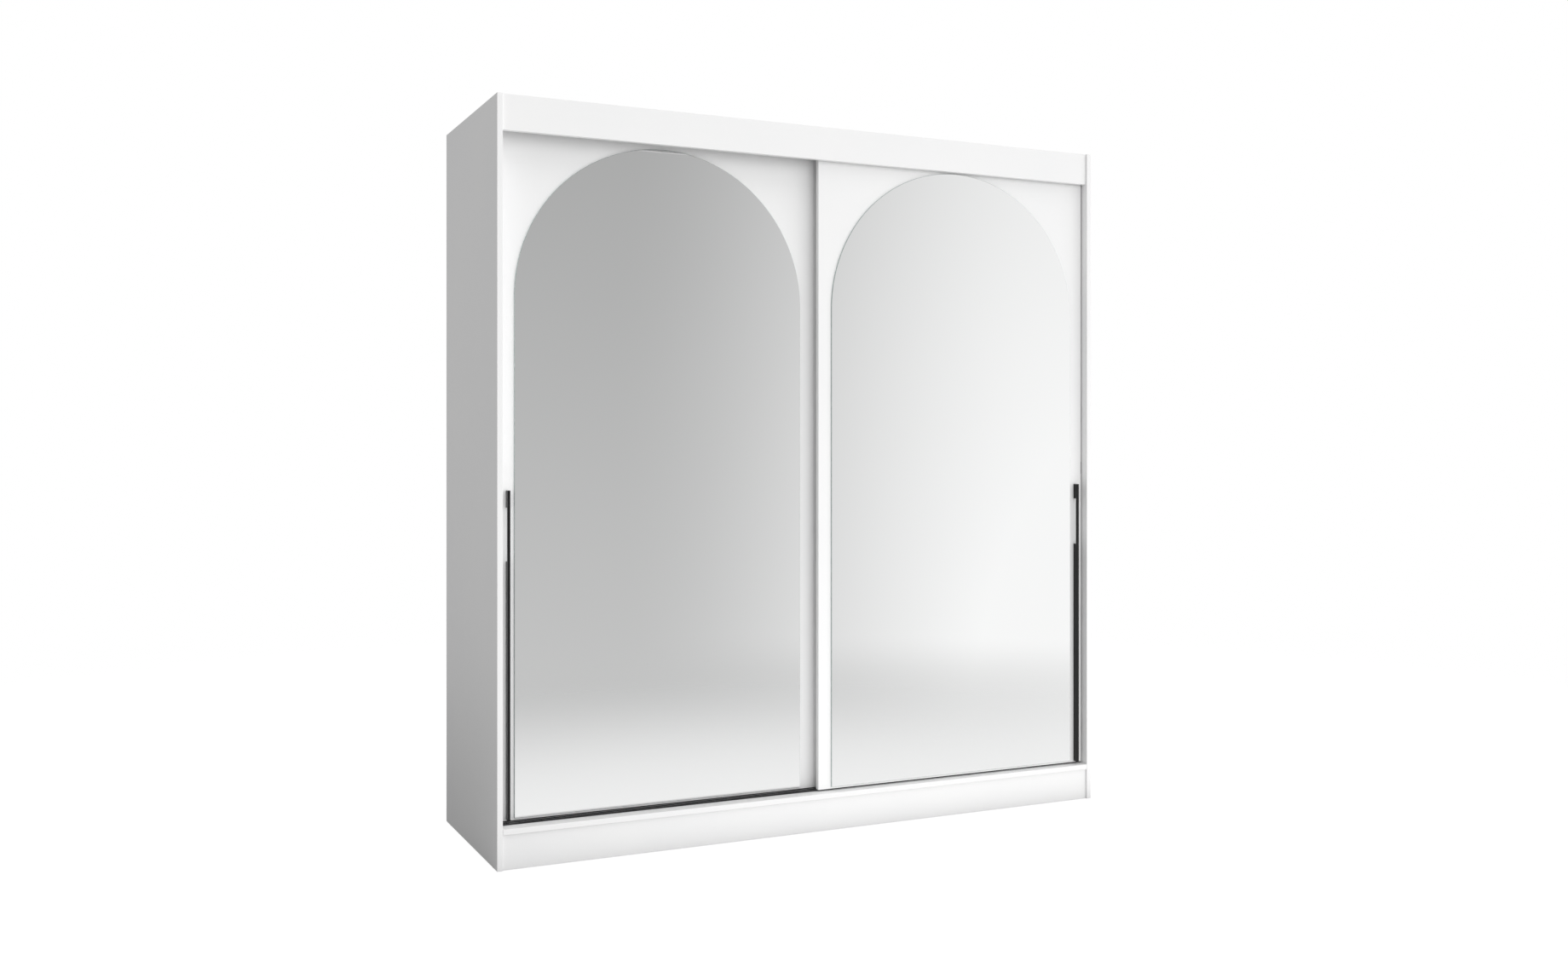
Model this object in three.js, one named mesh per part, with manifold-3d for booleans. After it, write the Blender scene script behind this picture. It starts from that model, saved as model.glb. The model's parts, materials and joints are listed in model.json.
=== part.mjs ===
// Two-door sliding wardrobe with arched mirrors, as separate pieces.
// Millimetres, +Z up. The front looks along -Y and +X is to the right of someone facing it.
// The origin is on the floor, under the middle of the cabinet.
import * as THREE from 'three';
import { mergeVertices } from 'three/addons/utils/BufferGeometryUtils.js';
import Module from 'manifold-3d';

const wasm = await Module();
wasm.setup();

// ---- Driving dimensions ----

const WIDTH = 2000;
const DEPTH = 620;
const HEIGHT = 2140;
const BOARD = 16;
const BACK_BOARD = 3;
const GAP = 0.3;              // clearance between two pieces that meet

const GLIDE_HEIGHT = 2.2;
const GLIDE_RADIUS = 7;
const PLINTH_TOP = 100;
const HEADER_HEIGHT = 100;
const FRONT_SETBACK = 6;      // header and plinth, behind the front edges of the sides and bottom

// Depths are measured back from the cabinet's front plane.
const RIGHT_DOOR_FACE = 28;
const LANE_PITCH = 40;        // from the front lane to the rear lane
const LEFT_DOOR_FACE = RIGHT_DOOR_FACE + LANE_PITCH;
const DOOR_BOTTOM = 122;
const DOOR_TOP = 2104;
const RIGHT_DOOR_SPAN = [0.5, 980.5];
const LEFT_DOOR_SPAN = [-981, 19];

const MIRROR_GLASS = 4;
const MIRROR_RADIUS = 445;
const MIRROR_BOTTOM = 128;
const MIRROR_TOP = 2037;
const MIRROR_CENTRE_X = 489;  // to either side of the middle

const HANDLE_WIDTH = 8;
const HANDLE_DEPTH = 20;
const HANDLE_CENTRE_X = 954;
const HANDLE_BOTTOM = 126;
const HANDLE_TOP = 1046;
const GRIP_BOTTOM = 848;
const GRIP_TOP = 998;
const GRIP_DEPTH = 13;

const TRACK_FRONT = 42;
const TRACK_REAR = 102;
const BOTTOM_TRACK_HEIGHT = 4.7;
const BOTTOM_GROOVE_WIDTH = 8.6;
const BOTTOM_GROOVE_DEPTH = 3.2;
const TOP_TRACK_HEIGHT = 15.7;
const TOP_GROOVE_WIDTH = 9.4;
const TOP_GROOVE_DEPTH = 13.5;

const WHEEL_RADIUS = 11;
const WHEEL_WIDTH = 6.6;
const WHEEL_BEHIND_FACE = 24; // wheel's middle plane, behind its door's front face
const WHEEL_INSET = 60;       // from the door's edge to the wheel
const AXLE_RADIUS = 3;
const AXLE_CLEARANCE = 0.2;
const AXLE_HEAD_RADIUS = 5.5;
const AXLE_HEAD = 1.8;
const ROLLER_PLATE = { width: 56, height: 54, thickness: 2, corner: 6 };
const ROLLER_BOSS = { radius: 7, length: 2 };
const GUIDE_WIDTH = 36;
const GUIDE_PLATE = 2;
const GUIDE_FIN = 7;
const GUIDE_HEIGHT = 39;

const PARTITION_FRONT = 115;
const SHELF_FRONT = 130;
const HAT_SHELF_UNDERSIDE = 1780;
const ADJUSTABLE_SHELVES = 4;

const RAIL_HEIGHT = 30;
const RAIL_WIDTH = 15;
const RAIL_WALL = 1.2;
const RAIL_DROP = 60;         // from the hat shelf to the rail's middle
const SOCKET_PLATE = 3;
const SOCKET_COLLAR = 12;
const SOCKET_WALL = 2.2;

const BUMPER = { thickness: 2.4, width: 10, height: 40, middle: 1100 };
const WALL_BRACKET = { leg: 40, width: 30, thickness: 2, x: 700 };

const ROUND_SEGMENTS = 24;
const WHEEL_SEGMENTS = 40;
const ARCH_SEGMENTS = 64;

// ---- Derived places ----

const HALF_WIDTH = WIDTH / 2;
const FRONT_Y = -DEPTH / 2;
const INNER_X = HALF_WIDTH - BOARD;
const CARCASS_REAR = DEPTH - BACK_BOARD - GAP;
const BOTTOM_TOP = PLINTH_TOP + BOARD;
const TOP_UNDERSIDE = HEIGHT - BOARD;
const PANEL_FOOT = GLIDE_HEIGHT + GAP;
const GROOVE_BOTTOM = BOTTOM_TOP + GAP + BOTTOM_TRACK_HEIGHT - BOTTOM_GROOVE_DEPTH;
const AXLE_Z = GROOVE_BOTTOM + AXLE_CLEARANCE + WHEEL_RADIUS;
const RAIL_Z = HAT_SHELF_UNDERSIDE - RAIL_DROP;
const RAIL_DEPTH = (PARTITION_FRONT + CARCASS_REAR) / 2;
const SHELF_PITCH = (HAT_SHELF_UNDERSIDE - BOTTOM_TOP) / (ADJUSTABLE_SHELVES + 1);

// ---- Materials ----

function finish(color, roughness, metalness = 0) {
  return () => new THREE.MeshStandardMaterial({ color, roughness, metalness });
}

const whiteBoard = finish('#f1f1ef', 0.45);
const whiteBack = finish('#e9e8e4', 0.6);
const mirrorGlass = finish('#dde3e4', 0.03, 1);
const blackMetal = finish('#141415', 0.4, 0.7);
const blackTrack = finish('#232325', 0.35, 0.6);
const galvanised = finish('#b9bcc0', 0.4, 0.9);
const polishedSteel = finish('#c9ccd0', 0.15, 1);
const nylon = finish('#e6e3da', 0.5);
const guidePlastic = finish('#2b2b2d', 0.6);
const rubber = finish('#3a3a3c', 0.9);

// ---- Geometry helpers ----

const depthY = (depth) => FRONT_Y + depth;

const wardrobe = new THREE.Group();

function addMesh(name, geometry, makeMaterial) {
  const mesh = new THREE.Mesh(geometry, makeMaterial());
  mesh.name = name;
  wardrobe.add(mesh);
  return mesh;
}

// A rectangular board from its spans across, back from the front plane, and up.
function addBoard(name, across, back, up, makeMaterial = whiteBoard) {
  const size = [across, back, up].map(([low, high]) => high - low);
  const middle = [across, back, up].map(([low, high]) => (low + high) / 2);
  const board = addMesh(name, new THREE.BoxGeometry(...size), makeMaterial);
  board.position.set(middle[0], depthY(middle[1]), middle[2]);
}

// A profile drawn as [depth, height] points and extruded across the cabinet.
function extrudeAcross(points, across) {
  const outline = points.map(([depth, height]) => new THREE.Vector2(depthY(depth), height));
  const shape = new THREE.Shape(outline);
  const length = across[1] - across[0];
  const geometry = new THREE.ExtrudeGeometry(shape, { depth: length, bevelEnabled: false });
  const turn = new THREE.Matrix4().makeBasis(
    new THREE.Vector3(0, 1, 0),
    new THREE.Vector3(0, 0, 1),
    new THREE.Vector3(1, 0, 0),
  );
  geometry.applyMatrix4(turn);
  geometry.translate(across[0], 0, 0);
  return geometry;
}

// An outline drawn in the front view, extruded back by its thickness.
function extrudeBack(shape, thickness, curveSegments) {
  const options = { depth: thickness, bevelEnabled: false, curveSegments };
  const geometry = new THREE.ExtrudeGeometry(shape, options);
  geometry.rotateX(Math.PI / 2);
  geometry.translate(0, thickness, 0);
  return geometry;
}

function roundedRectangle(width, height, corner) {
  const x = width / 2;
  const y = height / 2;
  const shape = new THREE.Shape();
  shape.moveTo(-x + corner, -y);
  shape.lineTo(x - corner, -y);
  shape.absarc(x - corner, -y + corner, corner, -Math.PI / 2, 0);
  shape.lineTo(x, y - corner);
  shape.absarc(x - corner, y - corner, corner, 0, Math.PI / 2);
  shape.lineTo(-x + corner, y);
  shape.absarc(-x + corner, y - corner, corner, Math.PI / 2, Math.PI);
  shape.lineTo(-x, -y + corner);
  shape.absarc(-x + corner, -y + corner, corner, Math.PI, 1.5 * Math.PI);
  return shape;
}

// A closed mesh as a solid that can be joined and cut.
function toSolid(geometry) {
  const bare = geometry.clone();
  bare.deleteAttribute('normal');
  bare.deleteAttribute('uv');
  const merged = mergeVertices(bare, 1e-4);
  const vertProperties = new Float32Array(merged.attributes.position.array);
  const triVerts = new Uint32Array(merged.index.array);
  return new wasm.Manifold(new wasm.Mesh({ numProp: 3, vertProperties, triVerts }));
}

function toGeometry(solid) {
  const mesh = solid.getMesh();
  const geometry = new THREE.BufferGeometry();
  geometry.setAttribute('position', new THREE.BufferAttribute(mesh.vertProperties, 3));
  geometry.setIndex(new THREE.BufferAttribute(mesh.triVerts, 1));
  geometry.computeVertexNormals();
  return geometry;
}

// ---- Cabinet boards ----

function addCabinet() {
  const frontBoards = [FRONT_SETBACK, FRONT_SETBACK + BOARD];
  const between = [-INNER_X + GAP, INNER_X - GAP];
  addBoard('side_panel_left', [-HALF_WIDTH, -INNER_X], [0, CARCASS_REAR], [PANEL_FOOT, HEIGHT]);
  addBoard('side_panel_right', [INNER_X, HALF_WIDTH], [0, CARCASS_REAR], [PANEL_FOOT, HEIGHT]);
  addBoard('header_panel', between, frontBoards, [HEIGHT - HEADER_HEIGHT, HEIGHT]);
  const behindHeader = [frontBoards[1] + GAP, CARCASS_REAR];
  addBoard('top_panel', between, behindHeader, [TOP_UNDERSIDE, HEIGHT]);
  addBoard('bottom_panel', between, [0, CARCASS_REAR], [PLINTH_TOP, BOTTOM_TOP]);
  addBoard('partition', [-BOARD / 2, BOARD / 2], [PARTITION_FRONT, CARCASS_REAR],
    [BOTTOM_TOP + GAP, TOP_UNDERSIDE - GAP]);
}

function addPlinth() {
  const up = [PANEL_FOOT, PLINTH_TOP - GAP];
  const between = [-INNER_X + GAP, INNER_X - GAP];
  const front = [FRONT_SETBACK, FRONT_SETBACK + BOARD];
  const rear = [CARCASS_REAR - 2 * BOARD, CARCASS_REAR - BOARD];
  addBoard('plinth_front', between, front, up);
  addBoard('plinth_rear', between, rear, up);
  addBoard('plinth_brace', [-BOARD / 2, BOARD / 2], [front[1] + GAP, rear[0] - GAP], up);
}

function addBackPanels() {
  const back = [DEPTH - BACK_BOARD, DEPTH];
  const up = [PLINTH_TOP + 1, HEIGHT - 1];
  const outer = HALF_WIDTH - 1;
  addBoard('back_panel_left', [-outer, -GAP / 2], back, up, whiteBack);
  addBoard('back_panel_right', [GAP / 2, outer], back, up, whiteBack);
}

function addShelves() {
  const leftBay = [-INNER_X + GAP, -BOARD / 2 - GAP];
  const rightBay = [BOARD / 2 + GAP, INNER_X - GAP];
  const back = [SHELF_FRONT, CARCASS_REAR];
  const hat = [HAT_SHELF_UNDERSIDE, HAT_SHELF_UNDERSIDE + BOARD];
  addBoard('hat_shelf_left', leftBay, back, hat);
  addBoard('hat_shelf_right', rightBay, back, hat);
  for (let number = 1; number <= ADJUSTABLE_SHELVES; number += 1) {
    const underside = BOTTOM_TOP + number * SHELF_PITCH - BOARD / 2;
    addBoard(`shelf_${number}`, rightBay, back, [underside, underside + BOARD]);
  }
}

// ---- Hanging rail ----

function addHangingRail() {
  const ends = [-INNER_X + GAP, -BOARD / 2 - GAP];
  const tube = roundedRectangle(RAIL_WIDTH, RAIL_HEIGHT, RAIL_WIDTH / 2);
  const boreWidth = RAIL_WIDTH - 2 * RAIL_WALL;
  const boreHeight = RAIL_HEIGHT - 2 * RAIL_WALL;
  tube.holes.push(roundedRectangle(boreWidth, boreHeight, boreWidth / 2));
  const inset = SOCKET_PLATE + GAP;
  const length = ends[1] - ends[0] - 2 * inset;
  const geometry = new THREE.ExtrudeGeometry(tube, { depth: length, bevelEnabled: false, curveSegments: 8 });
  geometry.rotateY(Math.PI / 2);
  geometry.rotateX(Math.PI / 2);
  const rail = addMesh('hanging_rail', geometry, polishedSteel);
  rail.position.set(ends[0] + inset, depthY(RAIL_DEPTH), RAIL_Z);
  addRailSocket('rail_socket_side', ends[0], 1);
  addRailSocket('rail_socket_partition', ends[1], -1);
}

// A plate with a collar round the rail, open above so that the rail drops in.
function addRailSocket(name, wallX, direction) {
  const extrude = (shape, length) => {
    const options = { depth: length, bevelEnabled: false, curveSegments: 8 };
    return new THREE.ExtrudeGeometry(shape, options);
  };
  const collarWidth = RAIL_WIDTH + 2 * (GAP + SOCKET_WALL);
  const collarHeight = RAIL_HEIGHT + 2 * (GAP + SOCKET_WALL);
  const boreWidth = RAIL_WIDTH + 2 * GAP;
  const plate = extrude(roundedRectangle(collarWidth + 6, collarHeight + 22, 8), SOCKET_PLATE);
  const collar = extrude(roundedRectangle(collarWidth, collarHeight, collarWidth / 2), SOCKET_COLLAR);
  const bore = extrude(roundedRectangle(boreWidth, RAIL_HEIGHT + 2 * GAP, boreWidth / 2), SOCKET_COLLAR);
  const mouth = new THREE.BoxGeometry(boreWidth, collarHeight, SOCKET_COLLAR);
  bore.translate(0, 0, SOCKET_PLATE);
  mouth.translate(0, collarHeight / 2, SOCKET_PLATE + SOCKET_COLLAR / 2);
  const socket = toSolid(plate).add(toSolid(collar)).subtract(toSolid(bore)).subtract(toSolid(mouth));
  const mesh = addMesh(name, toGeometry(socket), galvanised);
  const turn = new THREE.Matrix4().makeBasis(
    new THREE.Vector3(0, direction, 0),
    new THREE.Vector3(0, 0, 1),
    new THREE.Vector3(direction, 0, 0),
  );
  mesh.geometry.applyMatrix4(turn);
  mesh.position.set(wallX, depthY(RAIL_DEPTH), RAIL_Z);
}

// ---- Tracks ----

// The profile's grooves, one per lane, cut into the side that faces the doors.
function trackProfile(base, mouth, floor, grooveWidth) {
  const points = [[TRACK_FRONT, base], [TRACK_FRONT, mouth]];
  for (const face of [RIGHT_DOOR_FACE, LEFT_DOOR_FACE]) {
    const lane = face + WHEEL_BEHIND_FACE;
    points.push([lane - grooveWidth / 2, mouth], [lane - grooveWidth / 2, floor]);
    points.push([lane + grooveWidth / 2, floor], [lane + grooveWidth / 2, mouth]);
  }
  points.push([TRACK_REAR, mouth], [TRACK_REAR, base]);
  return points;
}

function addTracks() {
  const across = [-INNER_X + GAP, INNER_X - GAP];
  const base = BOTTOM_TOP + GAP;
  const bottom = trackProfile(base, base + BOTTOM_TRACK_HEIGHT, GROOVE_BOTTOM, BOTTOM_GROOVE_WIDTH);
  addMesh('bottom_track', extrudeAcross(bottom, across), blackTrack);
  const ceiling = TOP_UNDERSIDE - GAP;
  const mouth = ceiling - TOP_TRACK_HEIGHT;
  const top = trackProfile(ceiling, mouth, mouth + TOP_GROOVE_DEPTH, TOP_GROOVE_WIDTH);
  addMesh('top_track', extrudeAcross(top, across), blackTrack);
}

// ---- Doors ----

function addDoor(side, face, span, handleX, mirrorX) {
  addBoard(`door_panel_${side}`, span, [face, face + BOARD], [DOOR_BOTTOM, DOOR_TOP]);
  addMirror(`mirror_${side}`, face, mirrorX);
  addHandle(`handle_${side}`, face, handleX);
  const stations = [['a', span[0] + WHEEL_INSET], ['b', span[1] - WHEEL_INSET]];
  for (const [letter, x] of stations) {
    addRoller(`${side}_${letter}`, x, face);
    addTopGuide(`top_guide_${side}_${letter}`, x, face);
  }
}

// Flat glass with a straight foot and a semicircular head, bonded to the door's face.
function addMirror(name, face, centreX) {
  const springing = MIRROR_TOP - MIRROR_RADIUS;
  const shape = new THREE.Shape();
  shape.moveTo(-MIRROR_RADIUS, MIRROR_BOTTOM);
  shape.lineTo(MIRROR_RADIUS, MIRROR_BOTTOM);
  shape.lineTo(MIRROR_RADIUS, springing);
  shape.absarc(0, springing, MIRROR_RADIUS, 0, Math.PI);
  const mirror = addMesh(name, extrudeBack(shape, MIRROR_GLASS, ARCH_SEGMENTS), mirrorGlass);
  mirror.position.set(centreX, depthY(face - GAP - MIRROR_GLASS), 0);
}

// A flat bar on edge, with a notch behind it for the fingers.
function addHandle(name, face, centreX) {
  const rear = face - GAP;
  const tip = face - HANDLE_DEPTH;
  const notch = face - GRIP_DEPTH;
  const profile = [
    [tip, HANDLE_BOTTOM], [rear, HANDLE_BOTTOM],
    [rear, GRIP_BOTTOM], [notch, GRIP_BOTTOM],
    [notch, GRIP_TOP], [rear, GRIP_TOP],
    [rear, HANDLE_TOP], [tip, HANDLE_TOP],
  ];
  const across = [centreX - HANDLE_WIDTH / 2, centreX + HANDLE_WIDTH / 2];
  addMesh(name, extrudeAcross(profile, across), blackMetal);
}

// A bottom roller: plate with a boss on the door's back, a headed axle, and a wheel in the groove.
function addRoller(label, x, face) {
  const plateFront = face + BOARD + GAP;
  const lane = face + WHEEL_BEHIND_FACE;
  const bore = AXLE_RADIUS + AXLE_CLEARANCE;
  const { width, height, thickness, corner } = ROLLER_PLATE;
  const lift = height / 2 - (AXLE_Z - DOOR_BOTTOM) + 1;
  const plateShape = roundedRectangle(width, height, corner);
  const plate = extrudeBack(plateShape, thickness, 6);
  plate.translate(0, 0, lift);
  const bossLength = thickness + ROLLER_BOSS.length;
  const boss = new THREE.CylinderGeometry(ROLLER_BOSS.radius, ROLLER_BOSS.radius, bossLength, ROUND_SEGMENTS);
  boss.translate(0, bossLength / 2, 0);
  const hole = new THREE.CylinderGeometry(bore, bore, 3 * bossLength, ROUND_SEGMENTS);
  const bracket = toSolid(plate).add(toSolid(boss)).subtract(toSolid(hole));
  const bracketMesh = addMesh(`roller_bracket_${label}`, toGeometry(bracket), galvanised);
  bracketMesh.position.set(x, depthY(plateFront), AXLE_Z);

  const headFront = lane + WHEEL_WIDTH / 2 + GAP;
  const shank = headFront - plateFront;
  const axleProfile = [
    [0, 0], [AXLE_RADIUS, 0], [AXLE_RADIUS, shank],
    [AXLE_HEAD_RADIUS, shank], [AXLE_HEAD_RADIUS, shank + AXLE_HEAD], [0, shank + AXLE_HEAD],
  ].map(([radius, along]) => new THREE.Vector2(radius, along));
  const axle = addMesh(`roller_axle_${label}`, new THREE.LatheGeometry(axleProfile, ROUND_SEGMENTS), galvanised);
  axle.position.set(x, depthY(plateFront), AXLE_Z);

  const half = WHEEL_WIDTH / 2;
  const wheelProfile = [
    [bore, -half], [WHEEL_RADIUS - 1, -half], [WHEEL_RADIUS, 1 - half],
    [WHEEL_RADIUS, half - 1], [WHEEL_RADIUS - 1, half], [bore, half], [bore, -half],
  ].map(([radius, along]) => new THREE.Vector2(radius, along));
  const wheel = addMesh(`wheel_${label}`, new THREE.LatheGeometry(wheelProfile, WHEEL_SEGMENTS), nylon);
  wheel.position.set(x, depthY(lane), AXLE_Z);
}

// A plate on the door's back with a fin that runs in the top track's groove.
function addTopGuide(name, x, face) {
  const front = face + BOARD + GAP;
  const lane = face + WHEEL_BEHIND_FACE;
  const finTop = DOOR_TOP + BOARD - 1;
  const ledge = DOOR_TOP - 3;
  const foot = ledge - GUIDE_HEIGHT;
  const profile = [
    [front, foot], [front + GUIDE_PLATE, foot],
    [front + GUIDE_PLATE, ledge - 4], [lane + GUIDE_FIN / 2, ledge - 4],
    [lane + GUIDE_FIN / 2, finTop], [lane - GUIDE_FIN / 2, finTop],
    [lane - GUIDE_FIN / 2, ledge], [front, ledge],
  ];
  const across = [x - GUIDE_WIDTH / 2, x + GUIDE_WIDTH / 2];
  addMesh(name, extrudeAcross(profile, across), guidePlastic);
}

// ---- Small fittings ----

// Pads on both side panels, one in each door's lane.
function addBumpers() {
  const { thickness, width, height, middle } = BUMPER;
  const up = [middle - height / 2, middle + height / 2];
  for (const [lane, face] of [['front', RIGHT_DOOR_FACE], ['rear', LEFT_DOOR_FACE]]) {
    const start = face + (BOARD - width) / 2;
    const wall = INNER_X - GAP;
    addBoard(`bumper_${lane}_left`, [-wall, thickness - wall], [start, start + width], up, rubber);
    addBoard(`bumper_${lane}_right`, [wall - thickness, wall], [start, start + width], up, rubber);
  }
}

function addGlides() {
  const columns = [['left', BOARD / 2 - HALF_WIDTH], ['middle', 0], ['right', HALF_WIDTH - BOARD / 2]];
  const rows = [['front', 50], ['rear', CARCASS_REAR - 50]];
  for (const [column, x] of columns) {
    for (const [row, depth] of rows) {
      const disc = new THREE.CylinderGeometry(GLIDE_RADIUS, GLIDE_RADIUS - 0.6, GLIDE_HEIGHT, ROUND_SEGMENTS);
      disc.rotateX(Math.PI / 2);
      const glide = addMesh(`glide_${row}_${column}`, disc, nylon);
      glide.position.set(x, depthY(depth), GLIDE_HEIGHT / 2);
    }
  }
}

// Steel angles in the top rear corner, for the screws that tie the cabinet to the wall.
function addWallBrackets() {
  const { leg, width, thickness, x } = WALL_BRACKET;
  const rear = CARCASS_REAR;
  const top = TOP_UNDERSIDE - GAP;
  const profile = [
    [rear, top], [rear - leg, top], [rear - leg, top - thickness],
    [rear - thickness, top - thickness], [rear - thickness, top - leg], [rear, top - leg],
  ];
  for (const [side, centre] of [['left', -x], ['right', x]]) {
    const across = [centre - width / 2, centre + width / 2];
    addMesh(`wall_bracket_${side}`, extrudeAcross(profile, across), galvanised);
  }
}

addCabinet();
addPlinth();
addBackPanels();
addShelves();
addHangingRail();
addTracks();
addDoor('right', RIGHT_DOOR_FACE, RIGHT_DOOR_SPAN, HANDLE_CENTRE_X, MIRROR_CENTRE_X);
addDoor('left', LEFT_DOOR_FACE, LEFT_DOOR_SPAN, -HANDLE_CENTRE_X, -MIRROR_CENTRE_X);
addBumpers();
addGlides();
addWallBrackets();

export default wardrobe;
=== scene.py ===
import json
import math

import bmesh
import bpy
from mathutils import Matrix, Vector


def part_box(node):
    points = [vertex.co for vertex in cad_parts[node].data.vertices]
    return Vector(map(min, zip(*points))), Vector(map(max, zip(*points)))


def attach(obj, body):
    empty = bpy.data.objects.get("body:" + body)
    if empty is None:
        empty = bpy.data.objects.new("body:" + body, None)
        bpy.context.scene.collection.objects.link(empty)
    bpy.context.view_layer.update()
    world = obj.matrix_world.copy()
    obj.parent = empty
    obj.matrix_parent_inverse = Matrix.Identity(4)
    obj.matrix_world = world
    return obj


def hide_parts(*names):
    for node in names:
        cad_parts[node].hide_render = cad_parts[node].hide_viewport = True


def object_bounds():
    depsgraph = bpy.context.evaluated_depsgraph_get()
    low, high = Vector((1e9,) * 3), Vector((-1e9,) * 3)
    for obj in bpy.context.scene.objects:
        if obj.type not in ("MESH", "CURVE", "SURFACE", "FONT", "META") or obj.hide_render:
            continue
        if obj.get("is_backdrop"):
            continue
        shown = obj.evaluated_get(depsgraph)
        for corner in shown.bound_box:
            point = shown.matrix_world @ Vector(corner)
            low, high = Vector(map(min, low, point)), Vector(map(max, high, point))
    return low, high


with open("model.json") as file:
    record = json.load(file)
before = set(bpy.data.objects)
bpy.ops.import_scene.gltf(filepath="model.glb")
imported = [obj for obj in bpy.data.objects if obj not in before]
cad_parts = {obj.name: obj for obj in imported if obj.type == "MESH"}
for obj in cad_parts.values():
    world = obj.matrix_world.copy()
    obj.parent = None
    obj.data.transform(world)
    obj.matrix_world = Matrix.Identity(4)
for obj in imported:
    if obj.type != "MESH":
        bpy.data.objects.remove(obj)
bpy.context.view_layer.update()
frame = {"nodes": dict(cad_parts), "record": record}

MM = 0.001

FORWARD, REARWARD = (0, -1, 0), (0, 1, 0)
DOWNWARD, UPWARD = (0, 0, -1), (0, 0, 1)

# ---- Sizes that the looks add to the frame's own ----
# A head or a collar is (radius, height). A PROFILE is made of shares of a radius and of a height.

BOARD_EDGE_RADIUS = 1.0 * MM
HARDBOARD_EDGE_RADIUS = 0.4 * MM
METAL_EDGE_RADIUS = 0.35 * MM
HANDLE_EDGE_RADIUS = 0.7 * MM
BUMPER_EDGE_RADIUS = 0.8 * MM
GLASS_CHAMFER = 0.8 * MM
RAIL_WALL = 1.2 * MM
MIRROR_SEGMENTS = 160
ROUND_SEGMENTS = 72
SCREW_SEGMENTS = 32
EDGE_SEGMENTS = 3
METAL_EDGE_SEGMENTS = 2
CREASE_ANGLE = math.radians(50.0)
BEVELLED_ANGLE = math.radians(30.0)
FLAT_ANGLE = math.radians(0.5)
# A face looks along an axis when its normal's share along it is above this.
ALONG_AXIS = 0.999
SAME_PLACE = 1e-6
SAME_LEVEL = 0.01 * MM

BACK_FACE_INSET = 0.3 * MM
NAIL_RADIUS = 1.7 * MM
NAIL_PITCH = 118 * MM
NAIL_INSET = 7 * MM
NAIL_SEGMENTS = 20
NAIL_PROFILE = [(0, 0), (1, 0), (1, 0.4), (0.7, 0.9), (0, 1)]

PIN_RADIUS = 2.4 * MM
PIN_REACH = 7 * MM
PIN_SUNK = 6 * MM
PIN_TIP_CHAMFER = 0.5 * MM
PIN_CLEARANCE = 0.05 * MM
PIN_COLLAR = (3.6 * MM, 1.2 * MM)
PIN_COLLAR_CLEARANCE = 0.02 * MM
HOLE_RADIUS = 2.6 * MM
HOLE_DEPTH = 10 * MM
HOLE_PITCH = 32 * MM
HOLES_EITHER_SIDE = 2
PIN_ROW_FROM_FRONT = 40 * MM
PIN_ROW_FROM_REAR = 55 * MM
ADJUSTABLE_SHELVES = [f"shelf_{number}" for number in (1, 2, 3, 4)]

CAM_CAP_RADIUS = 8 * MM
CAM_CAP_HEIGHT = 0.6 * MM
CAM_CAP_INSET = 34 * MM
CAM_CAP_FROM_EDGES = 70 * MM
CAM_CAP_PROFILE = [(0, 0), (1, 0), (1, 0.6), (0.94, 1), (0, 1)]
# The face of each board that holds the cams, 1 for the upper and -1 for the under face.
CAPPED_BOARDS = {"hat_shelf_left": -1, "hat_shelf_right": -1, "top_panel": -1, "bottom_panel": 1}

PAN_HEAD = (3.6 * MM, 1.3 * MM)
FLAT_HEAD = (3.4 * MM, 0.2 * MM)
SMALL_HEAD = (3.0 * MM, 1.1 * MM)
SCREW_PROFILE = [(0, 0), (1, 0), (1, 0.35), (0.94, 0.62), (0.82, 0.85), (0.62, 1)]
# The cross recess: shares of the head's radius for an arm's length and half width, the floor's share of
# the mouth, and the floor's share of the head's height.
RECESS_ARM = (0.5, 0.11)
RECESS_TAPER = 0.75
RECESS_FLOOR = 0.15
TRACK_SCREWS_X = [x * MM for x in (-900, -540, -180, 180, 540, 900)]
HANDLE_SCREWS_Z = [z * MM for z in (240, 500, 760, 1020)]
PLATE_THICKNESS = 2 * MM
# Across from the plate's middle, and below its top or above its lower edge.
ROLLER_SCREWS = [(x * MM, below * MM) for x, below in ((-19, 9), (19, 9), (-19, 26), (19, 26))]
GUIDE_SCREWS = [(x * MM, 11 * MM) for x in (-11, 11)]
SOCKET_THICKNESS = 3 * MM
SOCKET_SCREWS_Z = [z * MM for z in (-23, 23)]
WALL_SCREW_FROM_CORNER = 14 * MM

# From the bore to the rim, (radius, depth under the wheel's side face).
WHEEL_SIDE = [(3.2 * MM, 0), (5.2 * MM, 0), (5.6 * MM, 0.9 * MM), (8.2 * MM, 0.9 * MM), (8.6 * MM, 0)]
WHEEL_TREAD_RADIUS = 0.9 * MM
TREAD_SEGMENTS = 5
SHANK_RADIUS = 3 * MM
SHANK_CHAMFER = 0.3 * MM
# From the shank to the top, (share of the head's radius, depth under the head's top).
AXLE_HEAD = [(1, 1.8 * MM), (1, 1.1 * MM), (0.93, 0.55 * MM), (0.78, 0.2 * MM), (0.5, 0)]
# From the sole to the rim, (inset from the glide's radius, height above the floor).
GLIDE_RIM = [(1.4 * MM, 0), (0.85 * MM, 0.12 * MM), (0.6 * MM, 0.6 * MM)]
GLIDE_TOP_CHAMFER = 0.2 * MM

# ---- Materials ----

NOISE_SPAN = (0.3, 0.7)


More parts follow.
